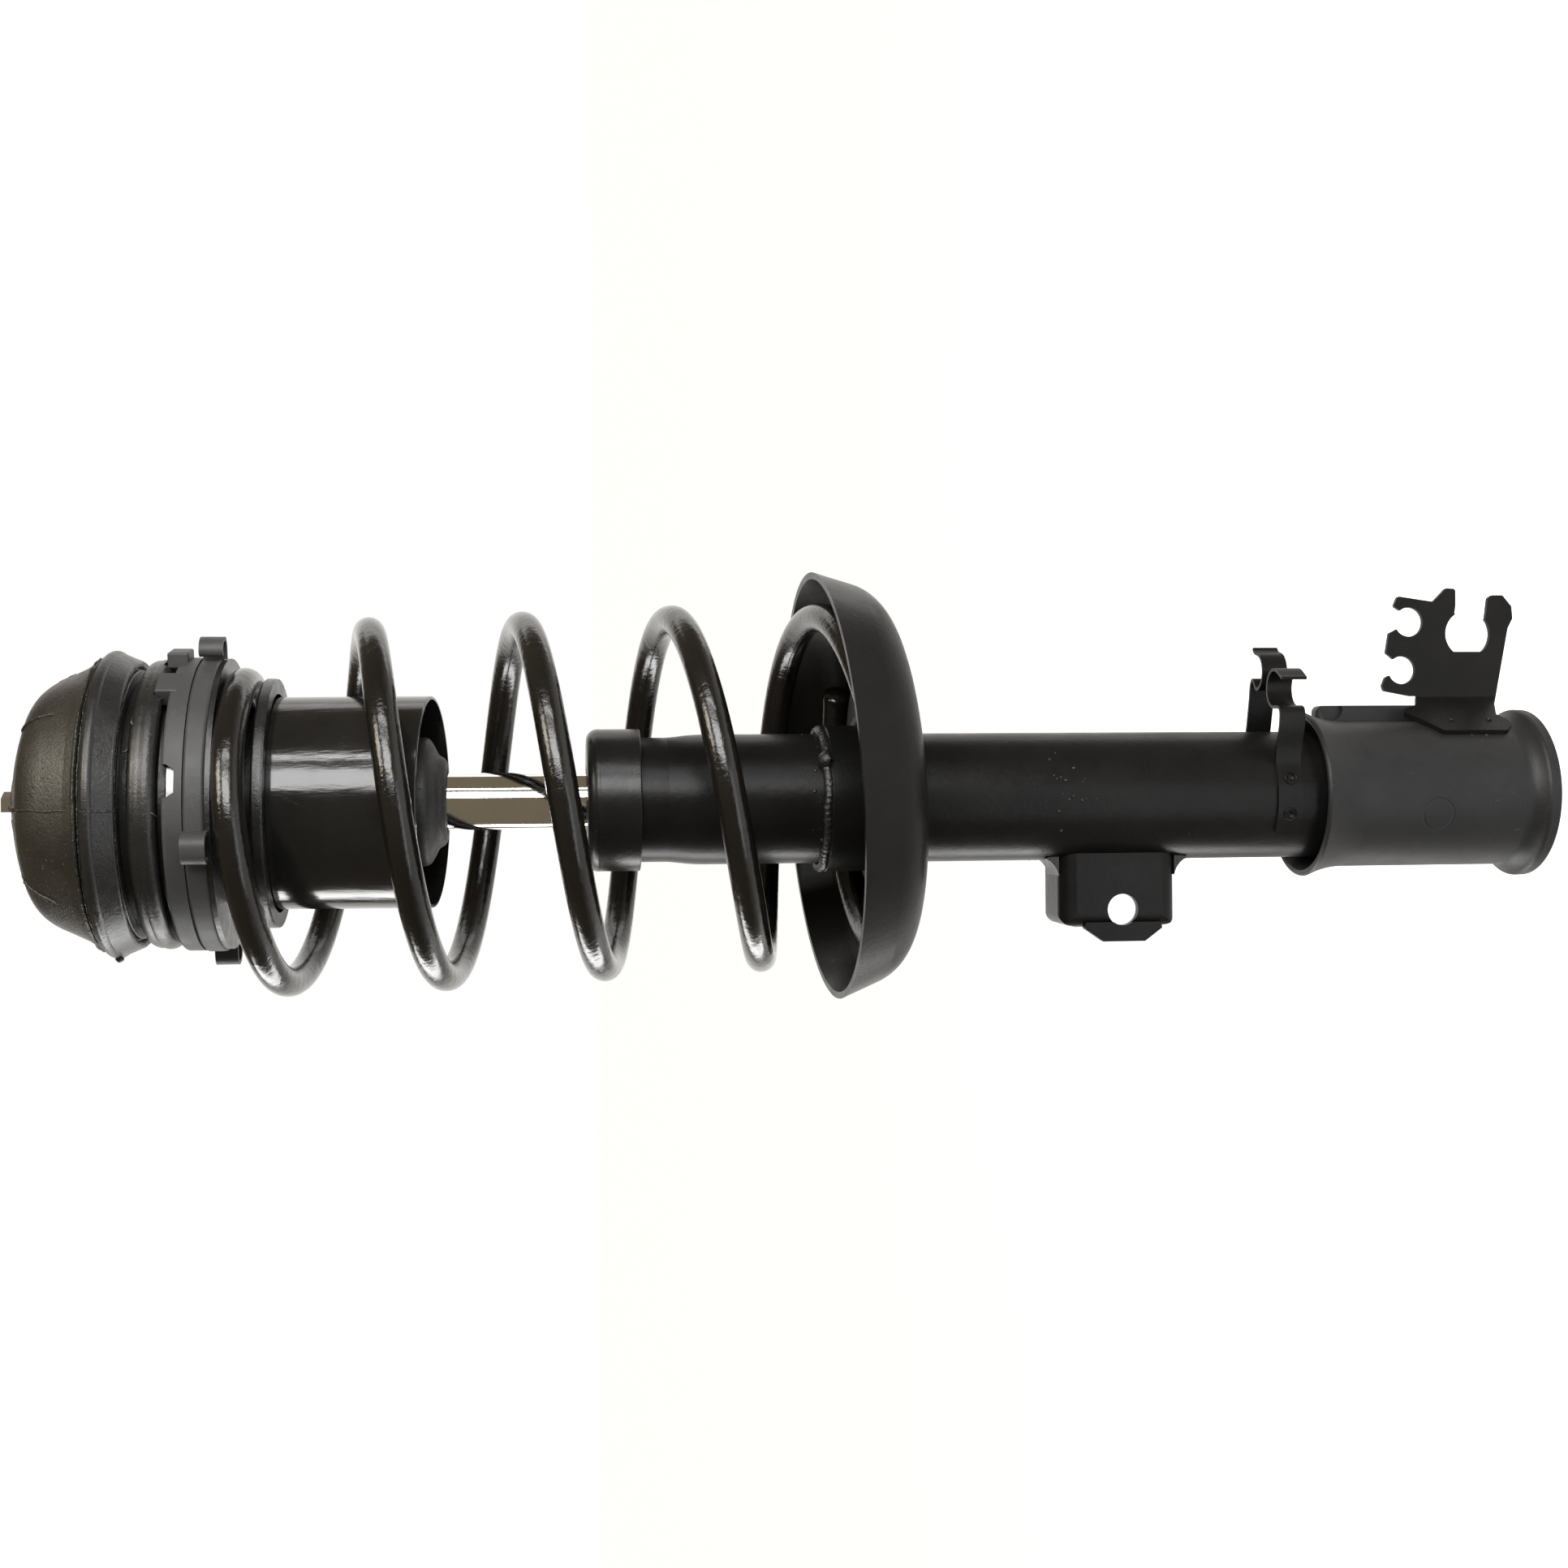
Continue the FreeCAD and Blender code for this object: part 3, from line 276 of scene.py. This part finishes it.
def make_seat_nylon():
    paint = surface("seat_nylon", (0.034, 0.034, 0.036), (0.046, 0.046, 0.047), (0.42, 0.56), wander=36,
                    grain=((3000, 0.00004, FLAT), (420, 0.00008, FLAT)), specular=0.30)
    wear(paint, (0.085, 0.083, 0.08), 0.63, 200)
    return dust(paint, (0.16, 0.16, 0.155), 700, 0.09)


def make_sleeve_plastic():
    paint = surface("sleeve_plastic", (0.0060, 0.0058, 0.0058), (0.0100, 0.0096, 0.0092), (0.10, 0.17),
                    wander=30, grain=((1500, 0.00002, (1, 1, 0.05)), (260, 0.00010, (1, 1, 0.10))),
                    specular=0.5)
    wear(paint, (0.030, 0.029, 0.028), 0.62, 300)
    return dust(paint, (0.08, 0.08, 0.08), 900, 0.08)


def make_band_plastic():
    return wear(surface("band_plastic", (0.060, 0.066, 0.060), (0.085, 0.090, 0.082), (0.4, 0.55),
                        grain=((2200, 0.00005, FLAT),)), (0.03, 0.03, 0.03), 0.62)


MAKERS = (make_tube_paint, make_sleeve_paint, make_coil_paint, make_weld_metal, make_cap_plastic,
          make_chromed_rod, make_bright_steel, make_sintered_steel, make_bronze, make_yellow_zinc,
          make_dome_rubber, make_black_rubber, make_foam_rubber, make_seat_nylon, make_sleeve_plastic,
          make_band_plastic)
slots = {make.__name__[5:]: make().material for make in MAKERS}


def dress_nodes():
    """Give every CAD node the material of its slot."""
    for part in frame["record"]["subparts"]:
        mesh = nodes[part["node"]].data
        mesh.materials.clear()
        mesh.materials.append(slots[part["material_slot"]])


# ---- mesh helpers -------------------------------------------------------------------------------

def add_mesh(name, points, faces, slot, body):
    """A smooth mesh object that rides on a CAD body."""
    mesh = bpy.data.meshes.new(name)
    mesh.from_pydata([tuple(p) for p in points], [], faces)
    mesh.shade_smooth()
    mesh.materials.append(slots[slot])
    piece = bpy.data.objects.new(name, mesh)
    bpy.context.scene.collection.objects.link(piece)
    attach(piece, body)
    return piece


def polar(radius, degrees, z):
    angle = math.radians(degrees)
    return Vector((radius * math.cos(angle), radius * math.sin(angle), z))


def tube_mesh(centres, radii, sides, closed=False):
    """Points and faces of a tube; radii is a function of (ring, side) in metres."""
    count = len(centres)
    points, faces = [], []
    frame_u = None
    for i, centre in enumerate(centres):
        ahead = centres[(i + 1) % count] if closed or i + 1 < count else centre
        behind = centres[i - 1] if closed or i > 0 else centre
        along = (ahead - behind).normalized()
        if frame_u is None:
            frame_u = along.orthogonal().normalized()
        frame_u = (frame_u - along * frame_u.dot(along)).normalized()
        frame_v = along.cross(frame_u)
        for j in range(sides):
            angle = 2 * math.pi * j / sides
            points.append(centre + (frame_u * math.cos(angle) + frame_v * math.sin(angle)) * radii(i, j))
    for i in range(count if closed else count - 1):
        k = (i + 1) % count
        for j in range(sides):
            n = (j + 1) % sides
            faces.append((i * sides + j, i * sides + n, k * sides + n, k * sides + j))
    if not closed:
        faces.append(tuple(reversed(range(sides))))
        faces.append(tuple(range((count - 1) * sides, count * sides)))
    return points, faces


def lathe_mesh(profile, segments):
    """Points and faces of a closed profile of (radius, z) turned about Z."""
    count = len(profile)
    points = [polar(r, 360 * i / segments, z) for i in range(segments) for r, z in profile]
    faces = []
    for i in range(segments):
        k = (i + 1) % segments
        for j in range(count):
            n = (j + 1) % count
            faces.append((i * count + j, k * count + j, k * count + n, i * count + n))
    return points, faces


def rounded(corners, step):
    """Closed outline through corners, each rounded by a quadratic curve."""
    count = len(corners)
    out = []
    for i in range(count):
        a, b, c = (Vector((*corners[(i + d) % count], 0)) for d in (-1, 0, 1))
        start, end = b.lerp(a, 0.5), b.lerp(c, 0.5)
        for s in range(step):
            t = s / step
            p = start * (1 - t) ** 2 + b * 2 * t * (1 - t) + end * t * t
            out.append((p.x, p.y))
    return out


def wobble(seed, low=0.7, high=1.3):
    """A repeatable list of random factors."""
    source = random.Random(seed)
    return [source.uniform(low, high) for _ in range(4096)]


# ---- coil spring --------------------------------------------------------------------------------

WIRE_R = 5.75
COIL_R = 66.65
PIGTAIL_R = 44.5
COIL_TOP_Z = 511.7
COIL_PITCH = 59.0
FIRST_TURN, LAST_TURN = -0.2, 4.85
SEAT_Z = 291.5 - 28.0 + 2.5 + WIRE_R + 0.45


def ease(value, low, high):
    part = min(max((value - low) / (high - low), 0.0), 1.0)
    return part * part * (3 - 2 * part)


def wire_height(turn):
    if turn < 0.18:
        return COIL_TOP_Z
    if turn < 0.30:
        return COIL_TOP_Z - COIL_PITCH * (turn - 0.18) ** 2 / 0.24
    if turn < 3.98:
        return COIL_TOP_Z - COIL_PITCH * (turn - 0.24)
    land_z = COIL_TOP_Z - COIL_PITCH * 3.74
    span = 2 * (land_z - SEAT_Z) / COIL_PITCH
    part = min(turn - 3.98, span)
    return land_z - COIL_PITCH * part + COIL_PITCH * part * part / 2 / span


def wire_centre(turn):
    """Centre of the wire in millimetres, the same path as the CAD spring."""
    height = wire_height(turn)
    landed = ease(turn, 3.9, 4.5)
    radius = PIGTAIL_R + (COIL_R - PIGTAIL_R) * ease(turn, -0.12, 0.5) - 2.4 * landed
    centre_x = -1.4 + 6.0 * min(max((461 - height) / 139, 0.0), 1.0)
    arm = polar(radius, -360 * turn, 0)
    lean = ease(turn, 0.6, 4.2)
    height += lean * arm.x * math.tan(math.radians(3.4)) * (1 if turn > 3.9 else 0.75 + 0.25 * lean)
    height += ease(turn, 3.6, 4.3) * arm.y * math.tan(math.radians(2.4))
    return Vector((centre_x + arm.x, arm.y, height)) + Vector((1.6, 1.0, 0.9)) * landed


def build_coil():
    steps = 760
    turns = [FIRST_TURN + (LAST_TURN - FIRST_TURN) * i / steps for i in range(steps + 1)]
    centres = [wire_centre(t) * MM for t in turns]
    ends = {0: 0.90, steps: 0.90}
    points, faces = tube_mesh(centres, lambda i, j: WIRE_R * MM * ends.get(i, 1.0), 44)
    coil = add_mesh("coil_wire", points, faces, "coil_paint", "strut_body")
    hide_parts("coil_spring")
    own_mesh(coil)


# ---- bump stop ----------------------------------------------------------------------------------

def build_bump_stop():
    low, top, bore = 437.0, 512.0, 11.6
    outline = [(bore, low + 1.0), (14.6, low), (16.8, low + 1.2), (17.8, low + 3.2), (19.0, low + 4.0),
               (22.4, low + 5.6), (24.6, low + 7.2), (25.0, low + 10.0), (24.4, low + 14.6),
               (21.0, low + 18.2)]
    for i in range(2):
        base = low + 20.6 + 21.4 * i
        outline += [(20.2, base - 0.6), (21.6, base + 1.0), (24.8, base + 5.0), (25.0, base + 10.0),
                    (24.4, base + 14.6), (21.0, base + 18.8)]
    outline += [(20.2, top - 10.6), (21.6, top - 8.0), (21.6, top - 1.0), (20.8, top), (bore, top)]
    profile = [(r * MM, z * MM) for r, z in rounded(outline, 5)]
    points, faces = lathe_mesh(profile, 120)
    stop = add_mesh("bump_stop_rubber", points, faces, "foam_rubber", "upper_seat")
    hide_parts("bump_stop")
    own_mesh(stop)


# ---- moulding marks on the rubber ---------------------------------------------------------------

DOME = ((55.2, 564.9), (54.0, 565.6), (53.0, 567.1), (52.0, 568.6), (50.6, 571.5), (49.3, 574.3),
        (48.0, 577.0), (46.2, 580.7), (43.6, 584.3), (40.4, 587.1), (36.0, 589.2), (30.2, 591.3),
        (25.0, 592.7), (21.0, 593.9), (17.4, 594.9))


def dome_point(share, degrees, lift=0.0):
    """Point on the dome's skin, share 0 at the rim and 1 at the well."""
    spot = min(max(share, 0.0), 1.0) * (len(DOME) - 1)
    i = min(int(spot), len(DOME) - 2)
    part = spot - i
    r = DOME[i][0] * (1 - part) + DOME[i + 1][0] * part
    z = DOME[i][1] * (1 - part) + DOME[i + 1][1] * part
    return polar((r + lift) * MM, degrees, (z + lift * 0.4) * MM)


def ridge(name, centres, width, slot, body, seed, low=0.55, high=1.35, sides=8):
    """Thin uneven bead of rubber along a line."""
    factors = wobble(seed, low, high)
    last = len(centres) - 1

    def size(i, j):
        taper = min(1.0, (i + 1) / 4, (last - i + 1) / 4)
        lumps = 0.9 + 0.2 * factors[(i * sides + j + 911) % 4096]
        return width * MM * taper * factors[(i * 3) % 4096] * lumps

    points, faces = tube_mesh(centres, size, sides)
    return add_mesh(name, points, faces, slot, body)


def build_dome_marks():
    for k, azimuth in enumerate((-92, 88)):
        line = [dome_point(0.18 + 0.82 * i / 90, azimuth + 0.25 * math.sin(i * 0.21)) for i in range(91)]
        ridge("dome_parting_%d" % k, line, 0.42, "dome_rubber", "rod_and_mount", 20 + k, 0.7, 1.25)
        head = [dome_point(0.62 + 0.38 * i / 40, azimuth, 0.15) for i in range(41)]
        ridge("dome_gate_%d" % k, head, 0.85, "dome_rubber", "rod_and_mount", 24 + k, 0.75, 1.2)
    for k, azimuth in enumerate((-48, -136, 42, 132, -4, 178)):
        line = [dome_point(0.36 + 0.34 * i / 40, azimuth + 4.0 * i / 40, 0.05) for i in range(41)]
        ridge("dome_vane_%d" % k, line, 0.55, "dome_rubber", "rod_and_mount", 30 + k, 0.5, 1.3)


def build_rim_flash():
    """Torn flash round the rim of the dome and round the edge of the lip."""
    edges = (("rim_flash", 55.3, 564.4, 0.34, 41), ("lip_flash", 53.3, 550.6, 0.26, 42),
             ("lip_edge_flash", 56.1, 562.7, 0.22, 43))
    for name, radius, height, width, seed in edges:
        factors = wobble(seed, 0.35, 1.5)
        count = 720
        centres = []
        for i in range(count):
            ragged = 0.16 * math.sin(i * 0.37) + 0.12 * math.sin(i * 0.113 + 1) + 0.10 * factors[i]
            centres.append(polar((radius + ragged - 0.1) * MM, 360 * i / count, height * MM))
        points, faces = tube_mesh(centres, lambda i, j: width * MM * factors[(i * 5 + 77) % 4096], 6,
                                  closed=True)
        add_mesh(name, points, faces, "dome_rubber", "rod_and_mount")


LIP = ((52.4, 550.6), (53.6, 550.5), (54.6, 551.6), (55.9, 554.6), (57.2, 557.6), (58.2, 559.6),
       (57.4, 561.4), (56.0, 562.6))


def build_lip_marks():
    """Parting line across the lip on both sides, moulded ticks, and the nub of the mould's vent."""
    for k, azimuth in enumerate((-92, 88)):
        line = []
        for i in range(len(LIP) - 1):
            for s in range(6):
                part = s / 6
                r = LIP[i][0] * (1 - part) + LIP[i + 1][0] * part
                z = LIP[i][1] * (1 - part) + LIP[i + 1][1] * part
                line.append(polar(r * MM, azimuth, z * MM))
        ridge("lip_parting_%d" % k, line, 0.34, "black_rubber", "rod_and_mount", 50 + k)
    nub = [polar((57.0 + 0.35 * i) * MM, -172, (558.6 + 0.02 * i) * MM) for i in range(9)]
    ridge("lip_nub", nub, 1.5, "black_rubber", "rod_and_mount", 55, 0.85, 1.1, 14)
    for k, azimuth in enumerate((24, 27, 30, 118, 121, 244, 247)):
        tick = [polar((56.1 + 0.30 * i) * MM, azimuth + 0.25 * i, (554.8 + 0.72 * i) * MM) for i in range(6)]
        ridge("lip_tick_%d" % k, tick, 0.28, "black_rubber", "rod_and_mount", 60 + k, 0.7, 1.1)


def build_buffer_crumbs():
    """Torn crumbs of rubber on one side of the buffer."""
    for k in range(34):
        azimuth = rng.uniform(8, 62) if k % 3 else rng.uniform(170, 350)
        z = rng.uniform(539.5, 546.5)
        worm = []
        turn = rng.uniform(0, 6.28)
        for _ in range(9):
            turn += rng.uniform(-0.7, 0.7)
            azimuth += 0.55 * math.cos(turn)
            z += 0.50 * math.sin(turn)
            worm.append(polar((53.9 - 0.02 * abs(z - 542) ** 2) * MM, azimuth, z * MM))
        ridge("buffer_crumb_%d" % k, worm, rng.uniform(0.35, 0.62), "black_rubber", "rod_and_mount",
              80 + k, 0.7, 1.3)


# ---- welds, spatter and clip --------------------------------------------------------------------

TUBE = 25.5
SLEEVE = 29.5
CLIP_R = 27.0
CLIP_MID_Z = 109.0
DIMPLE_R = 2.3


def bead(name, path, width, seed, closed=False, ripple=2.2):
    """Weld bead with ripples about as far apart as ripple millimetres."""
    factors = wobble(seed, 0.90, 1.10)
    length = sum((path[i + 1] - path[i]).length for i in range(len(path) - 1)) * 1000
    per_ring = length / max(len(path) - 1, 1)
    last = len(path) - 1

    def size(i, j):
        wave = 1 + 0.09 * math.sin(2 * math.pi * i * per_ring / ripple + 0.6 * math.cos(j * 0.9))
        taper = 1.0 if closed else min(1.0, 0.35 + 0.22 * min(i, last - i))
        return width * MM * wave * taper * factors[(i // 2 * 7 + j) % 4096]

    points, faces = tube_mesh(path, size, 14, closed=closed)
    return add_mesh(name, points, faces, "weld_metal", "strut_body")


def build_dish_bead():
    """Bead between the tube and the collar, with the lump where it was closed."""
    count = 260
    ring = [polar(26.9 * MM, 360 * i / count, (292.3 + 0.35 * math.sin(i * 0.21)) * MM) for i in range(count)]
    bead("collar_bead", ring, 1.9, 101, closed=True)
    lump = [polar((27.4 + 0.3 * math.sin(i * 1.3)) * MM, -64 + 1.5 * i,
                  (292.4 + 0.5 * math.sin(i * 0.8)) * MM) for i in range(9)]
    bead("collar_bead_end", lump, 3.1, 102, ripple=3.0)


def build_spatter():
    """Small drops thrown by welding, painted over."""
    spots = [(TUBE, rng.gauss(-88, 22), rng.gauss(199.5, 4.5)) for _ in range(26)]
    spots += [(TUBE, rng.uniform(0, 360), rng.uniform(293.8, 300.0)) for _ in range(20)]
    spots += [(TUBE, rng.uniform(150, 250), rng.uniform(140, 212)) for _ in range(22)]
    spots += [(SLEEVE, rng.gauss(-28, 10), rng.gauss(28, 12)) for _ in range(14)]
    points, faces = [], []
    for radius, azimuth, z in spots:
        if radius == TUBE and 149 < z < 200 and 130 < azimuth % 360 < 260:
            continue
        size = rng.uniform(0.25, 0.75)
        start = len(points)
        out = polar(1, azimuth, 0)
        side = Vector((-out.y, out.x, 0))
        for ring_angle in (90, 60, 30, 0):
            for j in range(10):
                a = 2 * math.pi * j / 10
                spread = math.sin(math.radians(ring_angle)) * size * rng.uniform(0.85, 1.15)
                rise = math.cos(math.radians(ring_angle)) * size * 0.7
                points.append((out * (radius - 0.1 + rise) + side * spread * math.cos(a)
                               + Vector((0, 0, z + spread * math.sin(a)))) * MM)
        for ring_index in range(3):
            for j in range(10):
                a, b = start + ring_index * 10 + j, start + ring_index * 10 + (j + 1) % 10
                faces.append((a, b, b + 10, a + 10))
    return add_mesh("weld_spatter", points, faces, "weld_metal", "strut_body")


def build_clip_rims():
    """Raised rims round the two pressed dimples in the clip's leg."""
    for k, x in enumerate((6.7, -7.6)):
        azimuth = math.degrees(math.atan2(-math.sqrt(CLIP_R ** 2 - x * x), x))
        out = polar(1, azimuth, 0)
        side = Vector((-out.y, out.x, 0))
        ring = []
        for i in range(40):
            a = 2 * math.pi * i / 40
            spot = out * CLIP_R + side * DIMPLE_R * math.cos(a)
            flat = spot.normalized() * (CLIP_R - 0.05)
            ring.append(Vector((flat.x, flat.y, CLIP_MID_Z + DIMPLE_R * math.sin(a))) * MM)
        points, faces = tube_mesh(ring, lambda i, j: 0.42 * MM, 10, closed=True)
        add_mesh("clip_dimple_rim_%d" % k, points, faces, "tube_paint", "strut_body")


# ---- stage --------------------------------------------------------------------------------------

def paper_material():
    """White paper that reads as white from any side and still takes a faint shadow."""
    paint = Paint("floor_paper")
    shade = paint.remap(paint.noise(3.0, 3.0), 0.2, 0.8, 0.0, 1.0)
    path = paint.tree.nodes.new("ShaderNodeLightPath")
    paint.set(Base_Color=paint.mix(shade, (0.86, 0.86, 0.86), (0.89, 0.89, 0.89)), Roughness=0.8,
              Emission_Color=(1, 1, 1, 1),
              Emission_Strength=paint.math("MULTIPLY", path.outputs["Is Camera Ray"], 0.88))
    return paint.material


def build_stage():
    mesh = bpy.data.meshes.new("floor")
    half, z = 30.0, -0.26
    corners = [(-half, -half, z), (half, -half, z), (half, half, z), (-half, half, z)]
    mesh.from_pydata(corners, [], [(0, 1, 2, 3)])
    mesh.materials.append(paper_material())
    floor = bpy.data.objects.new("floor", mesh)
    bpy.context.scene.collection.objects.link(floor)


def add_light(name, angle, distance, low, high, width, radiance, colour=(1, 1, 1), target_z=None):
    """Softbox standing at an angle from the front (-Y), positive towards +X, between two heights."""
    data = bpy.data.lights.new(name, "AREA")
    data.shape = "RECTANGLE"
    data.size, data.size_y = width, high - low
    data.energy = radiance * math.pi * width * (high - low)
    data.color = colour
    lamp = bpy.data.objects.new(name, data)
    lean = math.radians(angle)
    lamp.location = (distance * math.sin(lean), -distance * math.cos(lean), (low + high) / 2)
    aim = Vector((0, 0, (low + high) / 2 if target_z is None else target_z))
    back = (lamp.location - aim).normalized()
    right = Vector((0, 0, 1)).cross(back).normalized()
    lamp.rotation_euler = Matrix((right, back.cross(right), back)).transposed().to_euler()
    lamp.visible_camera = False
    bpy.context.scene.collection.objects.link(lamp)


def build_lights():
    """Key softbox in two panels, strips behind both sides, a wall behind, and lights at head and foot."""
    add_light("key_wide", 27, 1.0, 0.20, 1.00, 0.40, 12.0)
    add_light("key_narrow", 51, 1.0, 0.20, 1.00, 0.08, 18.0)
    add_light("low_strip", -117, 0.9, -0.20, 0.95, 0.24, 10.0)
    add_light("high_strip", 128, 0.9, -0.20, 0.95, 0.20, 1.6)
    add_light("white_wall", 180, 1.2, -0.25, 1.3, 2.2, 1.0)
    add_light("head_warm", 38, 0.55, 0.98, 1.30, 0.34, 12.0, (1.0, 0.92, 0.76), 0.35)
    add_light("foot_cool", -10, 0.85, -0.24, 0.02, 0.90, 2.2, (0.88, 0.94, 1.0), 0.30)


def build_world():
    """White where the camera looks past the strut, a dim brown room in every reflection."""
    world = bpy.data.worlds.new("studio")
    bpy.context.scene.world = world
    world.use_nodes = True
    tree = world.node_tree
    room = tree.nodes["Background"]
    room.inputs["Color"].default_value = (0.16, 0.133, 0.092, 1)
    seen = tree.nodes.new("ShaderNodeBackground")
    seen.inputs["Color"].default_value = (1, 1, 1, 1)
    path = tree.nodes.new("ShaderNodeLightPath")
    mix = tree.nodes.new("ShaderNodeMixShader")
    tree.links.new(path.outputs["Is Camera Ray"], mix.inputs["Fac"])
    tree.links.new(room.outputs[0], mix.inputs[1])
    tree.links.new(seen.outputs[0], mix.inputs[2])
    tree.links.new(mix.outputs[0], tree.nodes["World Output"].inputs["Surface"])


def build_camera():
    """Level with the strut's middle, turned a little towards its foot; the strut lies across the picture."""
    yaw, roll = math.radians(6.8), math.radians(0.46)
    forward = Vector((0, math.cos(yaw), -math.sin(yaw)))
    right = Vector((0, -math.sin(yaw), -math.cos(yaw)))
    up = right.cross(forward)
    right_rolled = right * math.cos(roll) - up * math.sin(roll)
    up_rolled = up * math.cos(roll) + right * math.sin(roll)
    data = bpy.data.cameras.new("camera")
    data.sensor_width = 36
    data.lens = 44.72
    data.clip_start, data.clip_end = 0.01, 100
    camera = bpy.data.objects.new("camera", data)
    turn = Matrix((right_rolled, up_rolled, -forward)).transposed().to_4x4()
    camera.matrix_world = Matrix.Translation((0.0058, -0.7626, 0.3974)) @ turn
    bpy.context.scene.collection.objects.link(camera)
    bpy.context.scene.camera = camera


dress_nodes()
build_coil()
build_bump_stop()
build_dome_marks()
build_rim_flash()
build_lip_marks()
build_buffer_crumbs()
build_dish_bead()
build_spatter()
build_clip_rims()
build_stage()
build_lights()
build_world()
build_camera()
bpy.context.scene.view_settings.view_transform = "Standard"
